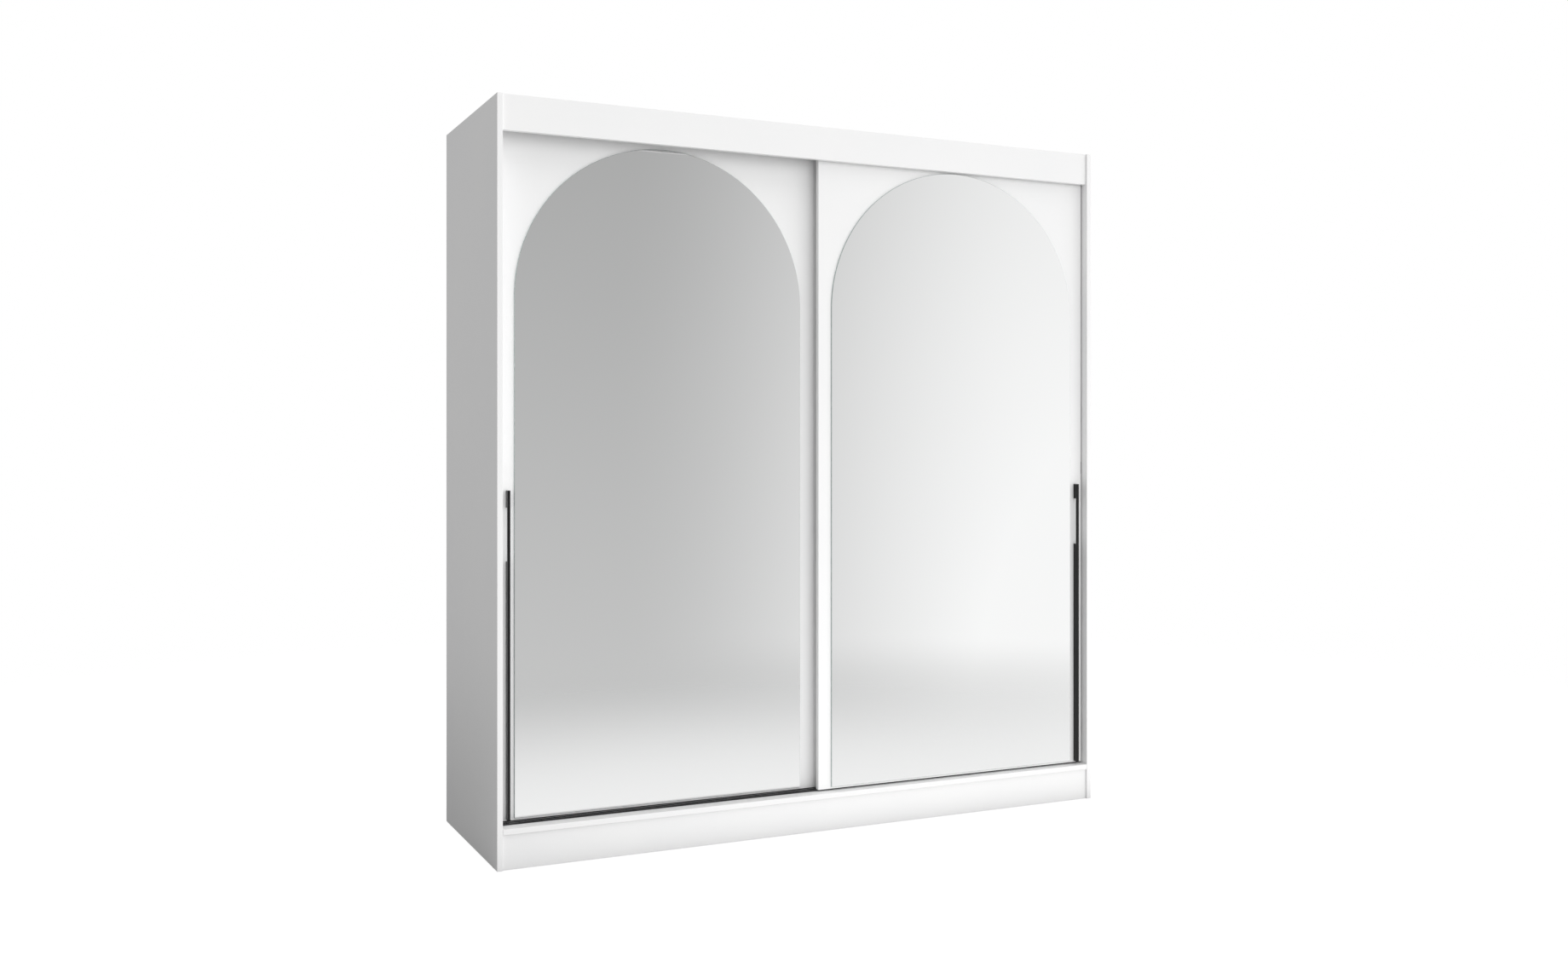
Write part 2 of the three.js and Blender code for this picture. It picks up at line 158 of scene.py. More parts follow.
def new_material(name, base, roughness, metallic=0.0):
    material = bpy.data.materials.new(name)
    material.use_nodes = True
    shader = material.node_tree.nodes["Principled BSDF"]
    shader.inputs["Base Color"].default_value = (*base, 1.0)
    shader.inputs["Roughness"].default_value = roughness
    shader.inputs["Metallic"].default_value = metallic
    return material, shader


def add_node(owner, kind, **values):
    """A shader node of a material or world, with its inputs and properties set by name."""
    node = owner.node_tree.nodes.new(kind)
    for name, value in values.items():
        if name in node.inputs:
            node.inputs[name].default_value = value
        else:
            setattr(node, name, value)
    return node


def link(owner, source, target):
    owner.node_tree.links.new(source, target)


def object_space(material, scale):
    """The frame's own coordinates, stretched by a scale per axis."""
    place = add_node(material, "ShaderNodeTexCoord")
    mapping = add_node(material, "ShaderNodeMapping", Scale=scale)
    link(material, place.outputs["Object"], mapping.inputs["Vector"])
    return mapping.outputs["Vector"]


def noise(material, vector, scale, detail=4.0, roughness=0.5):
    texture = {"Scale": scale, "Detail": detail, "Roughness": roughness}
    node = add_node(material, "ShaderNodeTexNoise", **texture)
    link(material, vector, node.inputs["Vector"])
    return node.outputs["Fac"]


def vary_colour(material, shader, factor, low, high):
    ramp = add_node(material, "ShaderNodeValToRGB")
    for element, position, colour in zip(ramp.color_ramp.elements, NOISE_SPAN, (low, high)):
        element.position = position
        element.color = (*colour, 1.0)
    link(material, factor, ramp.inputs["Fac"])
    link(material, ramp.outputs["Color"], shader.inputs["Base Color"])


def add_range(owner, source, start, end, **values):
    """Maps a source's (from, to) range to another (from, to)."""
    spread = add_node(owner, "ShaderNodeMapRange", **values)
    for name, value in zip(("From Min", "From Max", "To Min", "To Max"), (*start, *end)):
        spread.inputs[name].default_value = value
    link(owner, source, spread.inputs["Value"])
    return spread.outputs["Result"]


def vary_roughness(material, shader, factor, low, high):
    link(material, add_range(material, factor, NOISE_SPAN, (low, high)), shader.inputs["Roughness"])


def add_bump(material, shader, height, strength, distance):
    bump = add_node(material, "ShaderNodeBump", Strength=strength, Distance=distance)
    link(material, height, bump.inputs["Height"])
    link(material, bump.outputs["Normal"], shader.inputs["Normal"])


def make_finish(
    name, base, roughness, metallic=0.0, specular=0.5, stretch=(1, 1, 1), colour=None, gloss=None, relief=None
):
    """A coat that noise varies. Colour, gloss and relief each give its settings, then their values."""
    material, shader = new_material(name, base, roughness, metallic)
    shader.inputs["Specular IOR Level"].default_value = specular
    space = object_space(material, stretch)
    for vary, values in ((vary_colour, colour), (vary_roughness, gloss), (add_bump, relief)):
        if values:
            texture, *spread = values
            vary(material, shader, noise(material, space, *texture), *spread)
    return material


def make_plastic(name, low, high, roughness):
    relief = ((1800.0, 2.0), 0.25, 0.04 * MM)
    return make_finish(name, high, roughness, colour=((150.0,), low, high), relief=relief)


melamine = make_finish(
    "white_melamine",
    base=(0.92, 0.92, 0.92),
    roughness=0.4,
    colour=((3.0,), (0.912, 0.913, 0.915), (0.93, 0.929, 0.926)),
    gloss=((40.0,), 0.36, 0.46),
    relief=((1400.0, 2.0), 0.12, 0.05 * MM),
)
edging = make_finish(
    "white_edging",
    base=(0.92, 0.92, 0.92),
    roughness=0.3,
    colour=((6.0,), (0.91, 0.91, 0.912), (0.928, 0.927, 0.924)),
    gloss=((30.0,), 0.30, 0.34),
    relief=((900.0, 2.0), 0.04, 0.03 * MM),
)
raw_hardboard = make_finish(
    "raw_hardboard",
    base=(0.3, 0.19, 0.11),
    roughness=0.85,
    colour=((260.0, 8.0, 0.7), (0.20, 0.125, 0.07), (0.36, 0.245, 0.15)),
    relief=((900.0, 4.0), 0.5, 0.1 * MM),
)
lacquered_hardboard = make_finish(
    "lacquered_hardboard",
    base=(0.83, 0.83, 0.82),
    roughness=0.5,
    colour=((8.0,), (0.82, 0.82, 0.812), (0.845, 0.843, 0.835)),
    relief=((700.0, 3.0), 0.2, 0.05 * MM),
)
mirror_silver = make_finish(
    "mirror_silver",
    base=(0.876, 0.88, 0.879),
    roughness=0.0,
    metallic=1.0,
    colour=((1.5,), (0.872, 0.876, 0.875), (0.88, 0.884, 0.882)),
    gloss=((5.0,), 0.0, 0.012),
)
glass_edge = make_finish(
    "glass_edge",
    base=(0.42, 0.5, 0.48),
    roughness=0.12,
    colour=((120.0,), (0.36, 0.44, 0.42), (0.5, 0.57, 0.55)),
    gloss=((300.0,), 0.08, 0.2),
)
# A smooth black coat that mostly shines at a glancing angle.
black_lacquer = make_finish(
    "black_lacquer",
    base=(0.005, 0.005, 0.0055),
    roughness=0.16,
    specular=0.3,
    colour=((900.0,), (0.004, 0.004, 0.0045), (0.007, 0.007, 0.0075)),
    gloss=((60.0,), 0.13, 0.2),
    relief=((1600.0, 3.0), 0.06, 0.05 * MM),
)
# Dark anodised extrusion, with drawing lines along its length.
track_metal = make_finish(
    "black_anodised",
    base=(0.03, 0.03, 0.032),
    roughness=0.17,
    metallic=0.6,
    stretch=(1, 60, 60),
    colour=((30.0, 3.0), (0.022, 0.022, 0.024), (0.045, 0.045, 0.048)),
    gloss=((30.0, 3.0), 0.13, 0.21),
    relief=((30.0, 3.0), 0.06, 0.03 * MM),
)
chrome = make_finish(
    "chrome_tube",
    base=(0.72, 0.73, 0.75),
    roughness=0.1,
    metallic=1.0,
    stretch=(1, 40, 40),
    gloss=((30.0,), 0.06, 0.14),
)
zinc = make_finish(
    "zinc_plate",
    base=(0.55, 0.56, 0.58),
    roughness=0.38,
    metallic=1.0,
    colour=((220.0, 2.0), (0.46, 0.47, 0.5), (0.64, 0.65, 0.66)),
    gloss=((220.0, 2.0), 0.3, 0.48),
)
nylon = make_plastic("natural_nylon", (0.72, 0.69, 0.6), (0.8, 0.77, 0.7), 0.45)
guide_plastic = make_plastic("black_guide_plastic", (0.02, 0.02, 0.021), (0.035, 0.035, 0.037), 0.55)
rubber = make_plastic("grey_rubber", (0.045, 0.045, 0.047), (0.065, 0.065, 0.068), 0.85)
cap_plastic = make_plastic("white_cap_plastic", (0.8, 0.8, 0.79), (0.85, 0.85, 0.845), 0.4)

# ---- Mesh helpers ----

BODY_OF = {node: body for body, nodes in frame["record"]["behaviour"]["bodies"].items() for node in nodes}
SLOT_OF = {part["node"]: part["material_slot"] for part in frame["record"]["subparts"]}
# The weight at which a broad face alone sets the normals that it shares with the rounded edge beside it.
LARGE_FACES_FIRST = 100


def make_object(name, mesh_builder, materials, body):
    """A named piece from a bmesh, smooth except over its creases, whose normals keep the flats flat."""
    mesh = bpy.data.meshes.new(name)
    mesh_builder.normal_update()
    for face in mesh_builder.faces:
        face.smooth = True
    for edge in mesh_builder.edges:
        edge.smooth = edge.calc_face_angle(0) < CREASE_ANGLE
    mesh_builder.to_mesh(mesh)
    mesh_builder.free()
    for material in materials:
        mesh.materials.append(material)
    piece = bpy.data.objects.new(name, mesh)
    bpy.context.scene.collection.objects.link(piece)
    normals = piece.modifiers.new("flat_faces", "WEIGHTED_NORMAL")
    normals.weight = LARGE_FACES_FIRST
    normals.keep_sharp = True
    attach(piece, body)
    return piece


def cad_copy(node):
    """The CAD node's solid as a bmesh of its flat faces."""
    builder = bmesh.new()
    builder.from_mesh(frame["nodes"][node].data)
    bmesh.ops.remove_doubles(builder, verts=builder.verts, dist=SAME_PLACE)
    bmesh.ops.dissolve_limit(builder, angle_limit=FLAT_ANGLE, verts=builder.verts, edges=builder.edges)
    return builder


def round_edges(builder, radius, segments):
    sharp = [edge for edge in builder.edges if edge.calc_face_angle(0) > BEVELLED_ANGLE]
    bmesh.ops.bevel(
        builder, geom=sharp, offset=radius, segments=segments, profile=0.5, affect="EDGES", clamp_overlap=True
    )


def finish_node(node, materials, radius, paint=None, segments=EDGE_SEGMENTS):
    """Replaces a CAD node by a copy with rounded edges."""
    builder = cad_copy(node)
    round_edges(builder, radius, segments)
    if paint:
        paint(builder)
    piece = make_object(f"{node}_finished", builder, materials, BODY_OF[node])
    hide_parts(node)


def paint_edging(node):
    """Gives a board's narrow sides and rounded edges the second material."""
    low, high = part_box(node)
    size = high - low
    thin = min(range(3), key=lambda axis: size[axis])

    def paint(builder):
        builder.normal_update()
        for face in builder.faces:
            broad = abs(face.normal[thin]) > ALONG_AXIS
            face.material_index = 0 if broad else 1

    return paint


def add_turned(builder, profile, origin, axis, segments=ROUND_SEGMENTS, closed=False):
    """A turned solid from (radius, distance along the axis) pairs; a closed profile makes a ring."""
    turn = Vector(axis).to_track_quat("Z", "Y")
    rings = []
    for radius, along in profile:
        count = segments if radius > 0 else 1
        angles = [math.tau * i / segments for i in range(count)]
        offsets = [Vector((radius * math.cos(a), radius * math.sin(a), along)) for a in angles]
        rings.append([builder.verts.new(Vector(origin) + turn @ offset) for offset in offsets])
    pairs = list(zip(rings, rings[1:]))
    if closed:
        pairs.append((rings[-1], rings[0]))
    for first, second in pairs:
        for i in range(segments):
            j = (i + 1) % segments
            if len(first) == 1:
                builder.faces.new((first[0], second[j], second[i]))
            elif len(second) == 1:
                builder.faces.new((first[i], first[j], second[0]))
            else:
                builder.faces.new((first[i], first[j], second[j], second[i]))
    return rings


def scaled(profile, radius, height):
    return [(radius * share, height * along) for share, along in profile]


def fill_between(builder, loops):
    """Fills the flat region inside the first loop of vertices and outside the others."""
    edges = []
    for loop in loops:
        for i, vertex in enumerate(loop):
            following = loop[(i + 1) % len(loop)]
            edges.append(builder.edges.get((vertex, following)) or builder.edges.new((vertex, following)))
    bmesh.ops.triangle_fill(builder, use_beauty=True, use_dissolve=False, edges=edges)


def add_screw(builder, origin, axis, head=PAN_HEAD):
    """A screw head with a cross recess, standing on a surface and facing along an axis."""
    radius, height = head
    origin = Vector(origin)
    turn = Vector(axis).to_track_quat("Z", "Y")
    rings = add_turned(builder, scaled(SCREW_PROFILE, radius, height), origin, axis, SCREW_SEGMENTS)
    long, short = (share * radius for share in RECESS_ARM)
    arm = [(long, -short), (long, short), (short, short)]
    corners = []
    for quarter in range(4):
        angle = quarter * math.pi / 2
        cosine, sine = math.cos(angle), math.sin(angle)
        corners += [(x * cosine - y * sine, x * sine + y * cosine) for x, y in arm]
    rim = [Vector((x, y, height)) for x, y in corners]
    sunk = [Vector((x * RECESS_TAPER, y * RECESS_TAPER, RECESS_FLOOR * height)) for x, y in corners]
    rim, sunk = ([builder.verts.new(origin + turn @ point) for point in loop] for loop in (rim, sunk))
    fill_between(builder, [rings[-1], rim])
    for i in range(len(rim)):
        j = (i + 1) % len(rim)
        builder.faces.new((rim[i], rim[j], sunk[j], sunk[i]))
    fill_between(builder, [sunk])


def drill(builder, x, points, depth):
    """Bores round holes at (y, z) points into the flat face at x."""
    builder.faces.ensure_lookup_table()
    flat = [face for face in builder.faces if all(abs(v.co.x - x) < SAME_PLACE for v in face.verts)]
    broad = max(flat, key=lambda face: face.calc_area())
    outline = list(broad.verts)
    inward = -depth * broad.normal.x
    material_index = broad.material_index
    before = set(builder.faces) - {broad}
    builder.faces.remove(broad)
    mouths = []
    for y, z in points:
        angles = [math.tau * i / SCREW_SEGMENTS for i in range(SCREW_SEGMENTS)]
        round_points = [(y + HOLE_RADIUS * math.cos(a), z + HOLE_RADIUS * math.sin(a)) for a in angles]
        mouth = [builder.verts.new((x, u, v)) for u, v in round_points]
        end = [builder.verts.new((x + inward, u, v)) for u, v in round_points]
        for i in range(SCREW_SEGMENTS):
            j = (i + 1) % SCREW_SEGMENTS
            builder.faces.new((mouth[i], mouth[j], end[j], end[i]))
        builder.faces.new(end)
        mouths.append(mouth)
    fill_between(builder, [outline] + mouths)
    for face in set(builder.faces) - before:
        face.material_index = material_index
    bmesh.ops.recalc_face_normals(builder, faces=builder.faces)


def finish_turned(node, profile, axis, material, closed=False):
    """Replaces a round CAD node by a finely turned one about the middle of its box."""
    low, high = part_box(node)
    builder = bmesh.new()
    add_turned(builder, profile, (low + high) / 2, axis, closed=closed)
    bmesh.ops.recalc_face_normals(builder, faces=builder.faces)
    piece = make_object(f"{node}_finished", builder, [material], BODY_OF[node])
    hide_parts(node)


def make_fitting(name, builder, material, body):
    bmesh.ops.recalc_face_normals(builder, faces=builder.faces)
    make_object(name, builder, [material], body)


# ---- Boards ----

BOARDS = [node for node, slot in SLOT_OF.items() if slot == "white_board"]

shelf_low, shelf_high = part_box("shelf_1")
PIN_ROWS_Y = (shelf_low.y + PIN_ROW_FROM_FRONT, shelf_high.y - PIN_ROW_FROM_REAR)
PIN_LEVELS = [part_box(shelf)[0].z - PIN_RADIUS - PIN_CLEARANCE for shelf in ADJUSTABLE_SHELVES]
HOLE_STEPS = range(-HOLES_EITHER_SIDE, HOLES_EITHER_SIDE + 1)
HOLES = [(y, level + step * HOLE_PITCH) for y in PIN_ROWS_Y for level in PIN_LEVELS for step in HOLE_STEPS]
PIN_WALLS = {"side_panel_right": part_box("side_panel_right")[0].x, "partition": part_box("partition")[1].x}


def paint_and_drill(node):
    paint = paint_edging(node)

    def work(builder):
        paint(builder)
        if node in PIN_WALLS:
            drill(builder, PIN_WALLS[node], HOLES, HOLE_DEPTH)

    return work


for board in BOARDS:
    finish_node(board, [melamine, edging], BOARD_EDGE_RADIUS, paint_and_drill(board))


def paint_back(builder):
    """The outside of the back is raw and set in by the nail heads' height, and the rest is lacquered."""
    rear = max(vertex.co.y for vertex in builder.verts)
    for vertex in builder.verts:
        if vertex.co.y > rear - HARDBOARD_EDGE_RADIUS - SAME_LEVEL:
            vertex.co.y -= BACK_FACE_INSET
    builder.normal_update()
    for face in builder.faces:
        face.material_index = 0 if face.normal.y > ALONG_AXIS else 1


for side in ("left", "right"):
    finish_node(f"back_panel_{side}", [raw_hardboard, lacquered_hardboard], HARDBOARD_EDGE_RADIUS, paint_back)

# ---- Mirrors ----


def finish_mirror(side):
    """A glass slab with a ground chamfer round its face."""
    node = f"mirror_{side}"
    low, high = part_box(node)
    radius = (high.x - low.x) / 2
    centre_x = (low.x + high.x) / 2
    springing = high.z - radius

    def outline(inset):
        points = [(low.x + inset, low.z + inset), (high.x - inset, low.z + inset)]
        for step in range(MIRROR_SEGMENTS + 1):
            angle = math.pi * step / MIRROR_SEGMENTS
            reach = radius - inset
            points.append((centre_x + reach * math.cos(angle), springing + reach * math.sin(angle)))
        return points

    builder = bmesh.new()
    rings = []
    for depth, inset in ((high.y, 0.0), (low.y + GLASS_CHAMFER, 0.0), (low.y, GLASS_CHAMFER)):
        rings.append([builder.verts.new((x, depth, z)) for x, z in outline(inset)])
    count = len(rings[0])
    for ring, following in zip(rings, rings[1:]):
        for i in range(count):
            j = (i + 1) % count
            face = builder.faces.new((ring[i], ring[j], following[j], following[i]))
            face.material_index = 1
    builder.faces.new(reversed(rings[-1])).material_index = 0
    builder.faces.new(rings[0]).material_index = 1
    bmesh.ops.recalc_face_normals(builder, faces=builder.faces)
    materials = [mirror_silver, glass_edge]
    piece = make_object(f"{node}_finished", builder, materials, BODY_OF[node])
    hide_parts(node)


finish_mirror("left")
finish_mirror("right")

# ---- Metal and plastic fittings ----

for side in ("left", "right"):
    finish_node(f"handle_{side}", [black_lacquer], HANDLE_EDGE_RADIUS)
for node in ("bottom_track", "top_track"):
    finish_node(node, [track_metal], METAL_EDGE_RADIUS, segments=METAL_EDGE_SEGMENTS)


def finish_rail():
    """An oval tube across the left bay."""
    node = "hanging_rail"
    low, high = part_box(node)
    middle = (low + high) / 2
    builder = bmesh.new()
    rings = []
    for inset, x in ((0, low.x), (0, high.x), (RAIL_WALL, high.x), (RAIL_WALL, low.x)):
        radius = (high.y - low.y) / 2 - inset
        straight = (high.z - low.z) / 2 - inset - radius
        ring = []
        for step in range(ROUND_SEGMENTS):
            angle = math.tau * (step + 0.5) / ROUND_SEGMENTS
            shift = math.copysign(straight, math.sin(angle))
            point = (x, middle.y + radius * math.cos(angle), middle.z + shift + radius * math.sin(angle))
            ring.append(builder.verts.new(point))
        rings.append(ring)
    for ring, following in zip(rings, rings[1:] + rings[:1]):
        for i in range(ROUND_SEGMENTS):
            j = (i + 1) % ROUND_SEGMENTS
            builder.faces.new((ring[i], ring[j], following[j], following[i]))
    bmesh.ops.recalc_face_normals(builder, faces=builder.faces)
    piece = make_object(f"{node}_finished", builder, [chrome], BODY_OF[node])
    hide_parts(node)


finish_rail()


def outer_corner(radius, along, size):
    """Quarter-circle points that round a profile's outer corner at (radius, along)."""
    points = []
    for step in range(TREAD_SEGMENTS + 1):
        angle = math.pi / 2 * step / TREAD_SEGMENTS
        points.append((radius - size + size * math.sin(angle), along - size + size * math.cos(angle)))
    return points


def wheel_profile(node):
    """A roller with a rounded tread, a rim, a dished web and a hub."""
    low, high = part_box(node)
    half = (high.y - low.y) / 2
    side = [(radius, half - depth) for radius, depth in WHEEL_SIDE]
    side += outer_corner((high.z - low.z) / 2, half, WHEEL_TREAD_RADIUS)
    return side + [(radius, -along) for radius, along in reversed(side)]


def axle_profile(node):
    """A shank with a domed head at its rear end."""
    low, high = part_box(node)
    half = (high.y - low.y) / 2
    head = (high.z - low.z) / 2
    profile = [(0, -half), (SHANK_RADIUS - SHANK_CHAMFER, -half), (SHANK_RADIUS, SHANK_CHAMFER - half)]
    profile.append((SHANK_RADIUS, half - AXLE_HEAD[0][1]))
    profile += [(head * share, half - depth) for share, depth in AXLE_HEAD]
    return profile + [(0, half)]


def glide_profile(node):
    """A disc with a softened rim under it."""
    low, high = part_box(node)
    half = (high.z - low.z) / 2
    radius = (high.x - low.x) / 2
    profile = [(0, -half)] + [(radius - inset, height - half) for inset, height in GLIDE_RIM]
    return profile + [(radius, half - GLIDE_TOP_CHAMFER), (radius - GLIDE_TOP_CHAMFER, half), (0, half)]


for node, slot in SLOT_OF.items():
    if node.startswith("wheel_"):
        finish_turned(node, wheel_profile(node), REARWARD, nylon, closed=True)
    elif node.startswith("roller_axle_"):
        finish_turned(node, axle_profile(node), REARWARD, zinc)
    elif node.startswith("glide_"):
        finish_turned(node, glide_profile(node), UPWARD, nylon)
    elif slot == "zinc_steel":
        finish_node(node, [zinc], METAL_EDGE_RADIUS, segments=METAL_EDGE_SEGMENTS)
    elif slot == "guide_plastic":
        finish_node(node, [guide_plastic], METAL_EDGE_RADIUS, segments=METAL_EDGE_SEGMENTS)
    elif slot == "rubber":
        finish_node(node, [rubber], BUMPER_EDGE_RADIUS)

# ---- Screws, shelf pins, covers and nails ----


def add_screws(name, body, places, axis, head=PAN_HEAD):
    builder = bmesh.new()
    for place in places:
        add_screw(builder, place, axis, head)
    make_fitting(name, builder, zinc, body)


for side in ("left", "right"):
    body = f"{side}_door"
    for letter in ("a", "b"):
        plate = f"roller_bracket_{side}_{letter}"
        low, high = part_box(plate)
        middle = (low.x + high.x) / 2
        face = high.y - PLATE_THICKNESS
        spots = [(middle + across, face, high.z - below) for across, below in ROLLER_SCREWS]
        add_screws(f"{plate}_screws", body, spots, REARWARD)
        guide = f"top_guide_{side}_{letter}"
        low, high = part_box(guide)
        middle = (low.x + high.x) / 2
        face = low.y + PLATE_THICKNESS
        spots = [(middle + across, face, low.z + above) for across, above in GUIDE_SCREWS]
        add_screws(f"{guide}_screws", body, spots, REARWARD)
    low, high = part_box(f"handle_{side}")
    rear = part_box(f"door_panel_{side}")[1].y
    spots = [((low.x + high.x) / 2, rear, z) for z in HANDLE_SCREWS_Z]
    add_screws(f"handle_{side}_screws", body, spots, REARWARD)

low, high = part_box("bottom_track")
rib_y = (low.y + high.y) / 2
spots = [(x, rib_y, high.z) for x in TRACK_SCREWS_X]
add_screws("bottom_track_screws", "carcass", spots, UPWARD, head=FLAT_HEAD)
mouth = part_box("top_track")[0].z
spots = [(x, rib_y, mouth) for x in TRACK_SCREWS_X]
add_screws("top_track_screws", "carcass", spots, DOWNWARD)

for socket, facing in (("rail_socket_side", 1), ("rail_socket_partition", -1)):
    low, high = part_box(socket)
    face = low.x + SOCKET_THICKNESS if facing > 0 else high.x - SOCKET_THICKNESS
    middle = (low + high) / 2
    spots = [(face, middle.y, middle.z + dz) for dz in SOCKET_SCREWS_Z]
    add_screws(f"{socket}_screws", "carcass", spots, (facing, 0, 0), head=SMALL_HEAD)

for side in ("left", "right"):
    bracket = f"wall_bracket_{side}"
    low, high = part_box(bracket)
    middle = (low.x + high.x) / 2
    into_top = [(middle, low.y + WALL_SCREW_FROM_CORNER, high.z - PLATE_THICKNESS)]
    add_screws(f"{bracket}_top_screw", "carcass", into_top, DOWNWARD)
    into_wall = [(middle, high.y - PLATE_THICKNESS, low.z + WALL_SCREW_FROM_CORNER)]
    add_screws(f"{bracket}_wall_screw", "carcass", into_wall, FORWARD)


def add_shelf_pins(shelf, level):
    """Four collared pins, two in the side panel and two in the partition."""
    builder = bmesh.new()
    collar_radius, collar = PIN_COLLAR
    centre_z = level - (collar_radius - PIN_RADIUS)
    profile = [(0, -PIN_SUNK), (PIN_RADIUS, -PIN_SUNK), (PIN_RADIUS, PIN_COLLAR_CLEARANCE)]
    profile += [(collar_radius, PIN_COLLAR_CLEARANCE), (collar_radius, collar), (PIN_RADIUS, collar)]
    profile += [(PIN_RADIUS, PIN_REACH - PIN_TIP_CHAMFER), (PIN_RADIUS - PIN_TIP_CHAMFER, PIN_REACH)]
    profile.append((0, PIN_REACH))
    for x, facing in ((PIN_WALLS["side_panel_right"], -1), (PIN_WALLS["partition"], 1)):
        for y in PIN_ROWS_Y:
            add_turned(builder, profile, (x, y, centre_z), (facing, 0, 0), SCREW_SEGMENTS)
    make_fitting(f"{shelf}_pins", builder, zinc, "carcass")


for shelf, level in zip(ADJUSTABLE_SHELVES, PIN_LEVELS):
    add_shelf_pins(shelf, level)


def add_cam_covers(board, facing):
    """White covers over the cams, near the four corners of a board's upper (1) or under (-1) face."""
    low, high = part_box(board)
    z = high.z if facing > 0 else low.z
    profile = scaled(CAM_CAP_PROFILE, CAM_CAP_RADIUS, CAM_CAP_HEIGHT)
    builder = bmesh.new()
    for x in (low.x + CAM_CAP_INSET, high.x - CAM_CAP_INSET):
        for y in (shelf_low.y + CAM_CAP_FROM_EDGES, shelf_high.y - CAM_CAP_FROM_EDGES):
            add_turned(builder, profile, (x, y, z), (0, 0, facing))
    make_fitting(f"{board}_cam_covers", builder, cap_plastic, "carcass")


for board, facing in CAPPED_BOARDS.items():
    add_cam_covers(board, facing)


def add_back_nails(side):
    """Nail heads round the edge of a back panel and along the hat shelf behind it."""
    low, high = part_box(f"back_panel_{side}")
    left, right = low.x + NAIL_INSET, high.x - NAIL_INSET
    bottom, top = low.z + NAIL_INSET, high.z - NAIL_INSET
    hat_low, hat_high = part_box(f"hat_shelf_{side}")
    columns = round((right - left) / NAIL_PITCH)
    rows = round((top - bottom) / NAIL_PITCH)
    spots = []
    for z in (bottom, (hat_low.z + hat_high.z) / 2, top):
        spots += [(left + (right - left) * i / columns, z) for i in range(columns + 1)]
    for x in (left, right):
        spots += [(x, bottom + (top - bottom) * i / rows) for i in range(1, rows)]
    face = high.y - BACK_FACE_INSET
    profile = scaled(NAIL_PROFILE, NAIL_RADIUS, BACK_FACE_INSET)
    builder = bmesh.new()
    for x, z in spots:
        add_turned(builder, profile, (x, face, z), REARWARD, NAIL_SEGMENTS)
    make_fitting(f"back_panel_{side}_nails", builder, zinc, "carcass")


add_back_nails("left")
add_back_nails("right")

# ---- Floor, light and camera ----
# A ramp is ((from, to), (from, to)): the floor's metres or a direction's share, and the brightness there.

WHITE = (1, 1, 1, 1)
FLOOR_RADIUS = 5.0
FLOOR_SEGMENTS = 128
FLOOR_SOLID_RADIUS = 1.2
FLOOR_GREY = (0.25, 0.25, 0.25)
FLOOR_ROUGHNESS = 0.9
FLOOR_SEEN_GLOW = 0.88
FLOOR_CAST_OUTWARDS = ((-0.25, -0.5), (0.0, 0.92))
FLOOR_CAST_ACROSS = ((-2.2, 0.3), (0.0, 1.0))
FLOOR_MIRRORED_NEAR = ((-0.25, -0.45), (0.1, 1.0))
FLOOR_MIRRORED_FAR = ((-0.5, -3.3), (0.77, 0.4))
SOFT_LIGHT = 0.485
SEEN_LIGHT = 1.0
MIRRORED_ACROSS = ((0.32, 0.60), (0.55, 1.06))
MIRRORED_DOWNWARDS = -0.45
MIRRORED_LIMITS = (0.3, 1.06)
KEY_ANGLE = math.radians(50.0)
# For each sun: azimuth from straight ahead towards the right, elevation, strength.
KEYS = {
    "key_right": (math.radians(60.0), math.radians(11.0), 0.92),
    "key_front": (math.radians(8.0), math.radians(11.0), 0.62),
    "key_top": (math.radians(10.0), math.radians(70.0), 0.95),
}
CAMERA_PLACE = (-2.042, -4.317, 1.1599)
CAMERA_TURN = math.radians(-25.53)
CAMERA_SENSOR = 36.0
CAMERA_LENS = 34.06
CAMERA_SHIFT = (-0.00016, -0.01967)
CAMERA_REACH = 100.0


def choose(owner, ray, otherwise, chosen):
    """One brightness for a kind of ray and another for the rest, each a number or a socket."""
    light_path = add_node(owner, "ShaderNodeLightPath")
    mix = add_node(owner, "ShaderNodeMix", data_type="FLOAT")
    link(owner, light_path.outputs[ray], mix.inputs[0])
    for source, socket in ((otherwise, mix.inputs[2]), (chosen, mix.inputs[3])):
        if isinstance(source, float):
            socket.default_value = source
        else:
            link(owner, source, socket)
    return mix.outputs[0]


def multiply(owner, first, second):
    product = add_node(owner, "ShaderNodeMath", operation="MULTIPLY")
    link(owner, first, product.inputs[0])
    link(owner, second, product.inputs[1])
    return product.outputs["Value"]


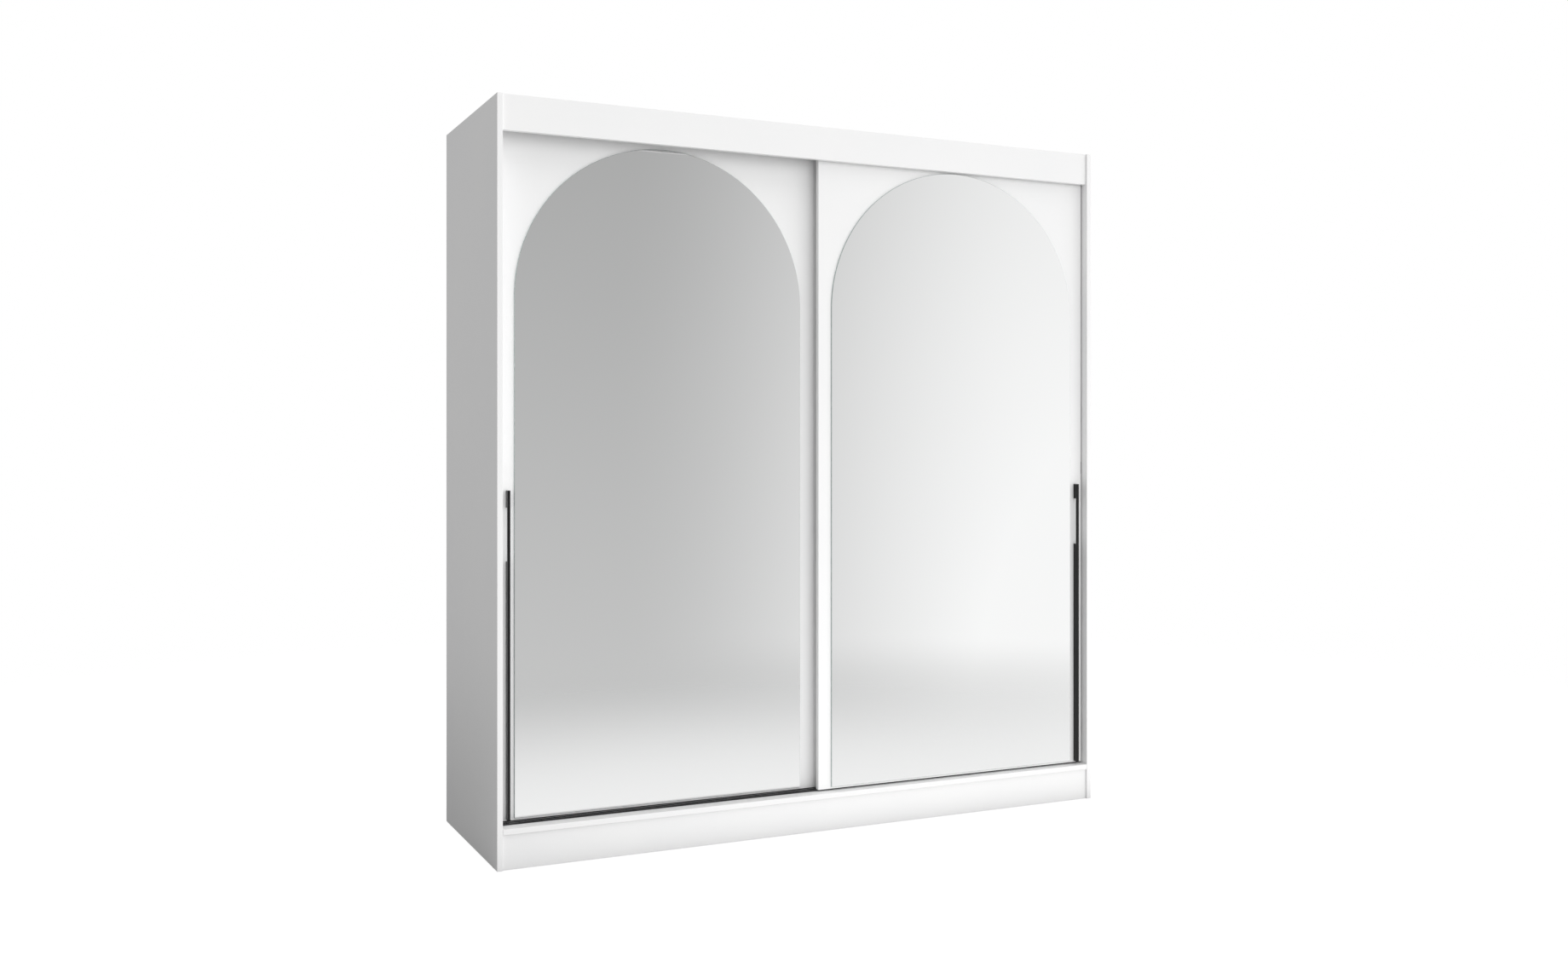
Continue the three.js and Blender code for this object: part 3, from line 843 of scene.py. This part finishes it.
def make_floor():
    """A pale disc round the cabinet that thins out into the white of the studio."""
    builder = bmesh.new()
    bmesh.ops.create_circle(builder, cap_ends=True, segments=FLOOR_SEGMENTS, radius=FLOOR_RADIUS)
    mesh = bpy.data.meshes.new("floor")
    builder.to_mesh(mesh)
    builder.free()
    material, shader = new_material("pale_floor", FLOOR_GREY, FLOOR_ROUGHNESS)
    material.cycles.emission_sampling = "NONE"
    shader.inputs["Specular IOR Level"].default_value = 0.0
    shader.inputs["Emission Color"].default_value = WHITE
    place = add_node(material, "ShaderNodeTexCoord").outputs["Object"]
    axes = add_node(material, "ShaderNodeSeparateXYZ")
    link(material, place, axes.inputs[0])

    def ramp_along(axis, ramp):
        return add_range(material, axes.outputs[axis], *ramp, interpolation_type="SMOOTHSTEP")

    cast = multiply(material, ramp_along("Y", FLOOR_CAST_OUTWARDS), ramp_along("X", FLOOR_CAST_ACROSS))
    mirrored = multiply(material, ramp_along("Y", FLOOR_MIRRORED_NEAR), ramp_along("Y", FLOOR_MIRRORED_FAR))
    glow = choose(material, "Is Glossy Ray", cast, mirrored)
    glow = choose(material, "Is Camera Ray", glow, FLOOR_SEEN_GLOW)
    link(material, glow, shader.inputs["Emission Strength"])
    reach = add_node(material, "ShaderNodeVectorMath", operation="LENGTH")
    link(material, place, reach.inputs[0])
    fade = ((FLOOR_SOLID_RADIUS, FLOOR_RADIUS), (1.0, 0.0))
    alpha = add_range(material, reach.outputs["Value"], *fade, interpolation_type="SMOOTHSTEP")
    link(material, alpha, shader.inputs["Alpha"])
    mesh.materials.append(material)
    floor = bpy.data.objects.new("floor", mesh)
    bpy.context.scene.collection.objects.link(floor)
    floor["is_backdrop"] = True


def make_world():
    """White behind the object, soft light all round, and a graded room for the mirrors."""
    world = bpy.data.worlds.new("studio")
    bpy.context.scene.world = world
    world.use_nodes = True
    place = add_node(world, "ShaderNodeTexCoord")
    # The mirrors see the room in front: grey to the left, white to the right, lighter lower down.
    axes = add_node(world, "ShaderNodeSeparateXYZ")
    link(world, place.outputs["Generated"], axes.inputs[0])
    across = add_range(world, axes.outputs["X"], *MIRRORED_ACROSS, interpolation_type="SMOOTHSTEP")
    graded = add_node(world, "ShaderNodeMath", operation="MULTIPLY_ADD")
    link(world, axes.outputs["Z"], graded.inputs[0])
    graded.inputs[1].default_value = MIRRORED_DOWNWARDS
    link(world, across, graded.inputs[2])
    mirrored = add_node(world, "ShaderNodeClamp")
    mirrored.inputs["Min"].default_value, mirrored.inputs["Max"].default_value = MIRRORED_LIMITS
    link(world, graded.outputs["Value"], mirrored.inputs["Value"])
    strength = choose(world, "Is Glossy Ray", SOFT_LIGHT, mirrored.outputs["Result"])
    strength = choose(world, "Is Camera Ray", strength, SEEN_LIGHT)
    background = world.node_tree.nodes["Background"]
    background.inputs["Color"].default_value = WHITE
    link(world, strength, background.inputs["Strength"])


def make_key_light(name, azimuth, elevation, strength):
    """A broad soft lamp that the mirrors and the gloss don't show."""
    data = bpy.data.lights.new(name, "SUN")
    data.energy = strength
    data.angle = KEY_ANGLE
    level = math.cos(elevation)
    direction = Vector((math.sin(azimuth) * level, -math.cos(azimuth) * level, math.sin(elevation)))
    key = bpy.data.objects.new(name, data)
    key.rotation_mode = "QUATERNION"
    key.rotation_quaternion = direction.to_track_quat("Z", "Y")
    key.visible_glossy = False
    bpy.context.scene.collection.objects.link(key)


def make_camera():
    data = bpy.data.cameras.new("camera")
    data.sensor_width = CAMERA_SENSOR
    data.lens = CAMERA_LENS
    data.shift_x, data.shift_y = CAMERA_SHIFT
    data.clip_end = CAMERA_REACH
    camera = bpy.data.objects.new("camera", data)
    camera.location = CAMERA_PLACE
    camera.rotation_euler = (math.pi / 2, 0.0, CAMERA_TURN)
    bpy.context.scene.collection.objects.link(camera)
    bpy.context.scene.camera = camera


make_floor()
make_world()
for key_name, aim in KEYS.items():
    make_key_light(key_name, *aim)
make_camera()
bpy.context.scene.view_settings.view_transform = "Standard"

low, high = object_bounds()
